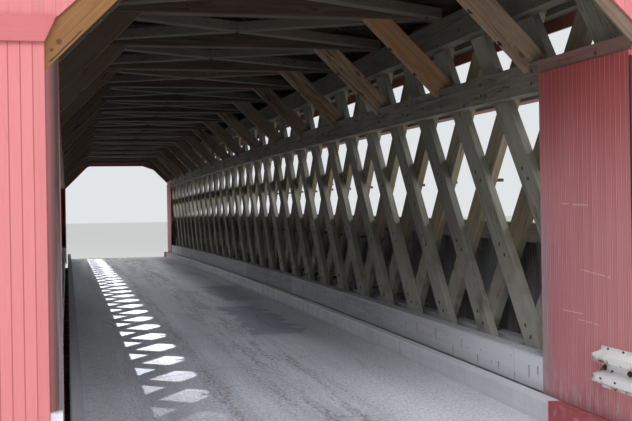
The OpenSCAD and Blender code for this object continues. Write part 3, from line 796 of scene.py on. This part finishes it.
sheet = Finish("roof_sheet", tone(132, 136, 138), rough=0.5)
sheet.shader.inputs["Metallic"].default_value = 0.55
dulled = sheet.weathered(0.8)
sheet.over(sheet.times(dulled["Patch"], 0.6), tone(156, 160, 162), 0.6)
spangle = sheet.put("ShaderNodeTexVoronoi", {"Vector": sheet.level, "Scale": 60.0}).outputs
pale = sheet.put("ShaderNodeSeparateColor", {0: spangle["Color"]}).outputs[0]
sheet.shade(sheet.ramp(pale, 0.0, 1.0, 0.93, 1.06))
runs = sheet.ramp(sheet.noise(sheet.stretch(sheet.level, 0.12, 1.0, 0.12), 22.0, 4.0, 0.7), 0.55, 0.75)
foot = sheet.ramp(sheet.across, 1.2, 3.1, 0.1, 0.75)
sheet.over(sheet.times(runs, foot), tone(124, 92, 70), 0.85)
sheet.raise_by(dulled["Patch"], 0.5)
sheet.raise_by(runs, 0.2)
roof_sheet = sheet.onto("roofing_left", "roofing_right", "ridge_cap", relief=0.002)

seams_a_side, seam_width, seam_height = 90, 0.012, 0.022
for side, word in both_sides:
    low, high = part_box("roofing_" + word)
    x0, x1 = 0.2, max(abs(low.x), abs(high.x)) - 0.03
    length = (x1 - x0) / math.cos(roof_slope)
    drop = (x0 + x1) / 2 * math.tan(roof_slope)
    size = Matrix.Diagonal((length, seam_width, seam_height * 2, 1))
    seams = bmesh.new()
    for i in range(seams_a_side):
        y = low.y + 0.02 + i * (high.y - low.y - 0.04) / (seams_a_side - 1)
        top = high.z - camber * (y / half_len) ** 2
        centre = Vector((side * (x0 + x1) / 2, y, top - drop))
        lie = Matrix.Translation(centre) @ Matrix.Rotation(roof_slope * side, 4, "Y")
        bmesh.ops.create_cube(seams, size=1.0, matrix=lie @ size)
    settle("roof_seams_" + word, seams, roof_sheet)

# Side siding
# Vertical boards close the sides up to eye height: bare and dark inside, faded red outside.
# Each board is nailed to the rail behind its top and to the bottom chord, and no two hang quite alike.


def red_paint(f, number, paint, worn):
    """Old red paint on boards: chalked in patches, thin along the grain, rubbed off low down."""
    inputs = {"Vector": f.turned, "Number": number, "Streak size": 0.02, "Knots": 0.25, "Checks": 0.15}
    grain = f.put("ShaderNodeGroup", inputs, node_tree=timber_grain).outputs
    patch = f.weathered(0.9)
    f.shade(f.ramp(f.random(number), 0.0, 1.0, 0.93, 1.06))
    f.over(f.times(patch["Patch"], 0.35), worn)
    f.over(f.times(grain["Streak"], 0.18), paint)
    f.over(f.times(patch["Runs"], 0.22), worn)
    thin = f.times(f.ramp(grain["Fibre"], 0.6, 0.75), f.ramp(f.up, 0.5, 2.2, 0.6, 0.1))
    f.over(thin, tone(172, 150, 146), 0.9)
    f.over(f.times(grain["Check"], 0.5), tone(70, 34, 34))
    f.over(f.ramp(f.up, 0.4, 0.75, 0.35, 0.0), tone(120, 92, 86), 0.9)
    f.raise_by(grain["Height"], 0.5)
    f.raise_by(patch["Grit"], 0.1)
    f.rough = f.ramp(patch["Patch"], 0.0, 1.0, 0.62, 0.8)
    return grain


def nail_rows(f, middle, levels):
    """Nail heads down the middle of the boards, at these heights."""
    for level in levels:
        off = f.distance_squared(middle, 0.0, f.up, level)
        head = f.ramp(off, 0.004 ** 2, 0.006 ** 2, 1.0, 0.0)
        f.over(f.times(head, 0.7), tone(70, 48, 44))
        f.raise_by(head, -0.5)


siding_width, siding_thick, siding_middle = 0.2354, 0.0215, 2.468
siding_foot, siding_top, first_board = 0.425, 2.788, -17.775
boards_a_side = 151
siding = Finish("siding_board", tone(78, 70, 62), turn=(-90, 0, 0))
courses = Boards(siding, siding.along, siding_width, gap=0.003, start=first_board)
siding.timber(tone(78, 78, 76), tone(136, 136, 133), courses.number, checks=0.6,
    grey=tone(124, 127, 129))
bare = siding.colour
siding.colour = tone(150, 62, 60)
red_paint(siding, courses.number, tone(140, 54, 54), tone(168, 92, 88))
nail_rows(siding, courses.middle, levels=(0.52, 1.5, 2.7))
outside = siding.calc("GREATER_THAN", siding.across, siding_middle)
siding.colour = siding.mix(outside, bare, siding.colour)
siding_board = siding.onto()

for side, word in both_sides:
    low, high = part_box("siding_" + word)
    middle = (low.x + high.x) / 2
    wall = bmesh.new()
    for i in range(boards_a_side):
        y = low.y + (i + 0.5) * siding_width
        foot = siding_foot + rise(y) + 0.02 * chance.random()
        top = siding_top + rise(y)
        lean = Matrix.Rotation(math.radians(chance.uniform(-0.25, 0.25)), 4, "Z")
        width = siding_width - 0.004 - 0.003 * chance.random()
        size = Matrix.Diagonal((siding_thick, width, top - foot, 1))
        seat = Matrix.Translation((middle, y, (foot + top) / 2))
        bmesh.ops.create_cube(wall, size=1.0, matrix=seat @ lean @ size)
    upright = [e for e in wall.edges if abs((e.verts[0].co - e.verts[1].co).normalized().z) > 0.9]
    bmesh.ops.bevel(wall, geom=upright, offset=0.002, offset_type="OFFSET", affect="EDGES", segments=1,
        profile=0.5, material=-1)
    settle("siding_boards_" + word, wall, siding_board, ("siding_" + word,))

# Siding rail and cap
# A rail runs behind the top of the siding, and a sloping board caps both. They are sawn planks, nailed on;
# the cap is bleached on top, where grit and leaves lie.

rail_len, cap_top = 3.9, 2.83
rail = Finish("siding_rail_timber", tone(110, 105, 99))
rail.timber(tone(70, 66, 60), tone(122, 117, 110), rail.nth(rail.along, rail_len), knots=0.3, checks=0.8,
    grey=tone(112, 111, 108))
rail.over(rail.ramp(rail.up, cap_top - 0.008, cap_top, 0.0, 0.5), tone(168, 165, 160))
dirt = rail.ramp(rail.noise(rail.level, 30.0, 4.0, 0.7), 0.55, 0.65)
dirt = rail.times(dirt, rail.ramp(rail.up, cap_top - 0.03, cap_top))
rail.over(rail.times(dirt, 0.8), tone(70, 62, 52))
rail.onto("siding_rail_left", "siding_rail_right")

# Eave boards
# Short red boards close the top of each side, from below the top chord up to the rafters.
# They are nailed to the chord, and are browner on the inside.

eave_board_width, eave_middle = 0.19, 2.47
eaves = Finish("eave_board", tone(140, 66, 62), turn=(-90, 0, 0))
courses = Boards(eaves, eaves.along, eave_board_width)
red_paint(eaves, courses.number, tone(128, 56, 54), tone(160, 92, 86))
browned = eaves.calc("LESS_THAN", eaves.across, eave_middle)
eaves.over(eaves.times(browned, 0.65), tone(104, 62, 46))
courses.cut()
nail_rows(eaves, courses.middle, levels=(4.66, 4.98))
eaves.onto("eave_boards_left", "eave_boards_right")

# Portals
# Narrow upright boards, painted red and bright in the daylight, are nailed to the posts and end rafters.
# A band of the same boarding crosses each leg at the foot of the opening's corner.

portal_board_width = 0.0735
filled_up, filled_half = 4.33, 0.12
portal = Finish("portal_board", tone(192, 112, 114), turn=(-90, 0, 0))
board = Boards(portal, portal.to_right(), portal_board_width, start=0.008)
red_paint(portal, board.number, tone(186, 96, 99), tone(200, 126, 128))
# The backs of the boards are a duller, darker red: partly their own paint, partly painted shade
back = portal.calc("LESS_THAN", portal.calc("ABSOLUTE", portal.along), half_len - 0.02)
portal.over(portal.times(back, 0.7), tone(112, 52, 50))
nail_rows(portal, board.middle, levels=(0.62, 1.5, 4.56, 5.1))
chips = portal.put("ShaderNodeTexVoronoi", {"Vector": portal.level, "Scale": 7.0}).outputs
chosen = portal.put("ShaderNodeSeparateColor", {0: chips["Color"]}).outputs[0]
chipped = portal.ramp(chips["Distance"], 0.03, 0.07, 0.9, 0.0)
chipped = portal.times(chipped, portal.calc("LESS_THAN", chosen, 0.2))
portal.over(chipped, tone(216, 196, 196))
filled = portal.times(portal.band(portal.up, filled_up, filled_half, 0.02), 0.8)
board.joint = portal.times(board.joint, portal.minus(1.0, filled))
board.cut(0.4, tone(160, 80, 84))
portal.onto("near_portal_left", "near_portal_right", "near_portal_gable",
    "far_portal_left", "far_portal_right", "far_portal_gable", relief=0.004)

band_start, band_len = 2.04, 0.64
band = Finish("portal_band", tone(180, 96, 98), turn=(0, 0, 90))
band_number = band.nth(band.minus(band.across, band_start), band_len)
red_paint(band, band_number, tone(173, 82, 85), tone(187, 108, 110))
band.onto("portal_bands")

# Portal braces
# A plank crosses each upper corner behind the portal boards, nailed to them and to the chord ends.
# The left ones are fresh tan replacements with dark knots and a long check; the right ones are old and brown.

split_across_and_up, split_middle = 5.98, 4.06
dark_knots = ((1.962, 4.086, 0.016), (2.007, 4.034, 0.01), (1.7, 4.42, 0.014))
for side, word, plain, dark, light, checks in (
    (-1, "left", (120, 82, 46), (98, 63, 32), (131, 91, 50), 1.0),
    (1, "right", (96, 80, 68), (72, 58, 48), (124, 102, 86), 0.9),
):
    f = Finish("portal_brace_" + word, tone(*plain), turn=(0, -45 * side, 90))
    far_one = f.calc("GREATER_THAN", f.along, 0.0)
    f.timber(tone(*dark), tone(*light), far_one, knots=0.6, checks=checks)
    if side < 0:
        wander = f.times(f.minus(f.noise(f.level, 11.0, 2.0), 0.5), 0.04)
        off = f.plus(f.minus(f.plus(f.up, f.across), split_across_and_up), wander)
        split = f.times(f.band(off, 0.0, 0.003, 0.007), f.band(f.up, split_middle, 0.09, 0.02))
        f.over(f.times(split, 0.95), tone(44, 22, 10))
        for x, z, radius in dark_knots:
            off = f.distance_squared(f.across, x, f.up, z)
            f.over(f.ramp(off, radius ** 2 * 0.3, radius ** 2 * 2.5, 0.75, 0.0), tone(74, 40, 20))
    f.onto("portal_braces_" + word)

# Jamb boards
# A narrow board covers the chord ends at each side of an opening.
# Its outer part keeps a dull red; loads passing by have scuffed its inner edge grey, and its foot is painted
# white as sunlight falling on it.

jamb_edge, sunlit_foot_top = 2.0, 1.79
jamb = Finish("jamb_board", tone(132, 78, 78), turn=(-90, 0, 0))
red_paint(jamb, 0.0, tone(116, 64, 64), tone(146, 98, 98))
jamb.over(jamb.ramp(jamb.across, jamb_edge, jamb_edge + 0.05, 0.85, 0.0), tone(74, 40, 38))
ragged = jamb.times(jamb.noise(jamb.stretch(jamb.level, 1.0, 1.0, 0.15), 14.0, 3.0), 0.03)
scuff = jamb.ramp(jamb.plus(jamb.across, ragged), jamb_edge + 0.008, jamb_edge + 0.022, 0.9, 0.0)
streaks = jamb.ramp(jamb.noise(jamb.stretch(jamb.level, 1.0, 1.0, 0.04), 60.0, 3.0), 0.35, 0.65)
greyed = jamb.ramp(jamb.up, 1.9, 3.3, 1.0, 0.0)
worn_dark = jamb.mix(greyed, tone(38, 35, 32), tone(62, 63, 68))
worn_light = jamb.mix(greyed, tone(60, 56, 52), tone(98, 100, 108))
jamb.over(scuff, jamb.mix(streaks, worn_dark, worn_light), 0.9)
# Painted sunlight: the foot of the jamb is painted near-white where daylight falls on it
painted_sunlit_foot = jamb.plus(jamb.up, jamb.times(jamb.noise(jamb.level, 20.0, 3.0), 0.06))
jamb.over(jamb.ramp(painted_sunlit_foot, sunlit_foot_top, sunlit_foot_top + 0.03, 0.9, 0.0), tone(206, 210, 220))
jamb.onto("jamb_boards")

# Return panels
# Sheets of fine grooved red boarding line both sides behind each portal.
# Towards the top the paint is duller and painted darker as shade; the ridges show pale with worn paint and a
# painted highlight, with a painted shade line beside each, and the inner edge and foot are rubbed to the bare
# wood.

ridge_step, first_ridge = 0.073, -16.31
inner_edge = half_len - 0.025 - 1.49
dull_and_shaded_from, dull_and_shaded_to = 2.9, 4.1
panel = Finish("return_panel", tone(204, 128, 133), turn=(-90, 0, 0))
ridge = Boards(panel, panel.along, ridge_step, gap=0.008, start=first_ridge)
grain = red_paint(panel, ridge.number, tone(188, 101, 106), tone(212, 145, 150))
# Duller paint and painted shade: the panel is darker and redder towards the top
panel.over(panel.ramp(panel.up, dull_and_shaded_from, dull_and_shaded_to, 0.0, 0.88), tone(150, 52, 48))
torn = panel.minus(inner_edge, panel.calc("ABSOLUTE", panel.along))
ragged = panel.noise(panel.stretch(panel.level, 1.0, 1.0, 0.3), 7.0, 4.0)
torn = panel.plus(torn, panel.times(ragged, 0.22))
bared = panel.ramp(torn, -0.14, 0.1, 0.0, 0.85)
bared = panel.times(bared, panel.ramp(panel.up, 2.5, 3.4, 1.0, 0.1))
panel.over(bared, tone(164, 152, 160), 0.9)
foot = panel.noise(panel.stretch(panel.level, 1.0, 1.0, 0.22), 19.0, 4.0, 0.7)
foot = panel.times(panel.ramp(foot, 0.45, 0.62), panel.ramp(panel.up, 1.2, 2.0, 0.75, 0.0))
panel.over(foot, tone(206, 186, 190), 0.9)
# Pale ridges: worn paint and a painted highlight, weaker towards the shaded top
chalk_and_highlight = panel.times(ridge.joint, panel.ramp(grain["Fibre"], 0.3, 0.6, 0.35, 0.8))
chalk_and_highlight = panel.times(chalk_and_highlight, panel.ramp(panel.up, dull_and_shaded_from, dull_and_shaded_to, 1.0, 0.35))
panel.over(chalk_and_highlight, tone(226, 176, 180))
# Painted shade: a thin dark line beside each ridge
panel.over(panel.times(panel.band(ridge.middle, 0.027, 0.001, 0.004), 0.35), tone(88, 36, 38))
scratches = (
    (-16.95, -17.268, 2.11, 2.103), (-16.68, -16.99, 2.159, 2.162), (-17.004, -17.438, 2.505, 2.476),
    (-16.7, -17.1, 3.02, 3.01), (16.8, 17.3, 2.2, 2.22),
)
for y0, y1, z0, z1 in scratches:
    fall = panel.times(panel.minus(panel.along, y0), (z1 - z0) / (y1 - y0))
    height = panel.minus(panel.minus(panel.up, z0), fall)
    wander = panel.times(panel.minus(panel.noise(panel.level, 30.0, 2.0), 0.5), 0.012)
    line = panel.band(panel.plus(height, wander), 0.0, 0.002, 0.004)
    line = panel.times(line, panel.band(panel.along, (y0 + y1) / 2, abs(y1 - y0) / 2, 0.03))
    broken = panel.ramp(panel.noise(panel.level, 24.0, 2.0), 0.35, 0.5)
    panel.over(panel.times(panel.times(line, broken), 0.8), tone(228, 196, 190))
panel.raise_by(ridge.joint, 1.2)
panel.onto("return_panels_left", "return_panels_right")

# Guard rail
# A two-wave steel rail, once painted cream, is bolted to the right return panel and runs out in front of it.
# Its end has slots for the splice bolts, and rust creeps in from its edges.

splice_slots = ((-17.4, 1.943), (-17.62, 1.945), (-17.43, 1.732), (-17.64, 1.732), (-17.46, 1.784))
low_edge_up, crest_foot_up, bolt_places = 1.665, 1.85, (-17.36, -17.72)
steel = Finish("guard_rail_steel", tone(234, 233, 234), rough=0.5)
spots = steel.weathered(0.12)
near_end = steel.ramp(steel.along, -17.42, -17.3)
low_edge = steel.band(steel.up, low_edge_up, 0.01, 0.05)
crest_foot = steel.band(steel.up, crest_foot_up, 0.01, 0.03)
edge = steel.calc("MAXIMUM", steel.calc("MAXIMUM", low_edge, crest_foot), near_end)
steel.over(steel.times(spots["Grit"], 0.25), tone(206, 204, 202))
grime = steel.ramp(steel.plus(spots["Patch"], steel.times(edge, 0.7)), 0.8, 1.5, 0.0, 0.75)
steel.over(grime, tone(162, 140, 110), 0.8)
rusty = steel.ramp(steel.plus(spots["Patch"], steel.times(edge, 0.45)), 1.25, 1.42)
steel.over(rusty, tone(122, 78, 54), 0.9)
for y, z in splice_slots:
    long_way = steel.times(steel.minus(steel.along, y), 0.5)
    off = steel.distance_squared(long_way, 0.0, steel.up, z)
    steel.over(steel.ramp(off, 0.00005, 0.0001, 1.0, 0.0), tone(30, 26, 24))
steel.raise_by(rusty, 0.5)
steel.raise_by(spots["Grit"], 0.2)
steel.onto("guard_rail", relief=0.001)

low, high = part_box("guard_rail")
heads = bmesh.new()
for y in bolt_places:
    spot = (high.x - 0.008, y, (low.z + high.z) / 2)
    bolt(heads, spot, (-1, 0, 0), radius=0.016, height=0.014, washer=0.026)
settle("guard_rail_bolts", heads, rusty_iron)

# Studio
# The floor is a plain pale sheet, lit softly by three soft boxes and a pale sky. A distant lamp adds the
# daylight that falls in through the left lattice, and lights only the road, the deck, and the left curb
# and lower chord.

floor_mesh = bmesh.new()
bmesh.ops.create_grid(floor_mesh, x_segments=1, y_segments=1, size=300)
floor_data = bpy.data.meshes.new("floor")
floor_mesh.to_mesh(floor_data)
floor_mesh.free()
floor = stand("floor", floor_data)
floor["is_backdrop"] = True
pale_floor = bpy.data.materials.new("pale_floor")
pale_floor.use_nodes = True
floor_shader = pale_floor.node_tree.nodes["Principled BSDF"]
floor_shader.inputs["Base Color"].default_value = tone(226, 226, 222)
floor_shader.inputs["Roughness"].default_value = 0.95
floor_data.materials.append(pale_floor)

sky = bpy.data.worlds.new("studio")
sky.use_nodes = True
sky_light = sky.node_tree.nodes["Background"]
sky_light.inputs["Color"].default_value = (0.95, 0.98, 1.0, 1.0)
sky_light.inputs["Strength"].default_value = 0.8
bpy.context.scene.world = sky
bpy.context.scene.view_settings.view_transform = "Standard"


def lamp(name, kind, power, place, way):
    """A lamp of a power in watts, which stands at a place and shines along way."""
    data = bpy.data.lights.new(name, kind)
    data.energy = power
    made = stand(name, data)
    made.location = place
    made.rotation_mode = "QUATERNION"
    made.rotation_quaternion = Vector(way).to_track_quat("-Z", "Y")
    return made


key_way = Vector((0.68, 0.29, -1.0)).normalized()
key_aim, key_distance = Vector((-1.5, 4.5, 3.5)), 600
key = lamp("key", "SPOT", 58.0e6, key_aim - key_way * key_distance, key_way)
key.data.spot_size = math.radians(3.55)
key.data.spot_blend = 0.12
key.data.shadow_soft_size = 3.0
inside = bpy.data.collections.new("inside")
for name in ("road_surface", "deck_planks", "curb_left", "lower_chord_left"):
    inside.objects.link(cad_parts[name])
key.light_linking.receiver_collection = inside

for name, place, way, wide, high, power in (
    ("front_softbox", (-1.0, -31.0, 13.5), (0.5, 15.0, -10.0), 16.0, 10.0, 2700.0),
    ("left_softbox", (-18.0, 0.0, 16.5), (18.0, 0.0, -14.0), 34.0, 12.0, 6500.0),
    ("right_softbox", (18.0, 0.0, 16.5), (-18.0, 0.0, -14.0), 34.0, 12.0, 6500.0),
):
    box = lamp(name, "AREA", power, place, way)
    box.data.shape = "RECTANGLE"
    box.data.size = wide
    box.data.size_y = high
    box.data.color = (0.96, 0.98, 1.0)
    box.visible_camera = False

# Camera
# It stands in the left lane in front of the near portal, and looks a little to the right along the bridge.
# Its height is that of an eye above the road; it is held almost level, and leans slightly to one side.

eye = (-1.93, -24.5, 3.015)
lens_px, image_px, sensor = 1050.0, 632.0, 36.0
turn_right, tilt_up, roll = math.radians(13.34), math.radians(-0.035), math.radians(-0.9)
level_ahead = Vector((math.sin(turn_right), math.cos(turn_right), 0.0))
ahead = level_ahead * math.cos(tilt_up) + Vector((0.0, 0.0, math.sin(tilt_up)))
right = Vector((math.cos(turn_right), -math.sin(turn_right), 0.0))
above = right.cross(ahead)
image_right = math.cos(roll) * right + math.sin(roll) * above
image_up = -math.sin(roll) * right + math.cos(roll) * above
camera_data = bpy.data.cameras.new("camera")
camera_data.sensor_width = sensor
camera_data.lens = lens_px / image_px * sensor
camera_data.clip_end = 500.0
camera = stand("camera", camera_data)
camera.location = eye
camera.rotation_mode = "QUATERNION"
camera.rotation_quaternion = Matrix((image_right, image_up, -ahead)).transposed().to_quaternion()
bpy.context.scene.camera = camera

# Size of the dressed bridge
low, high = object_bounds()
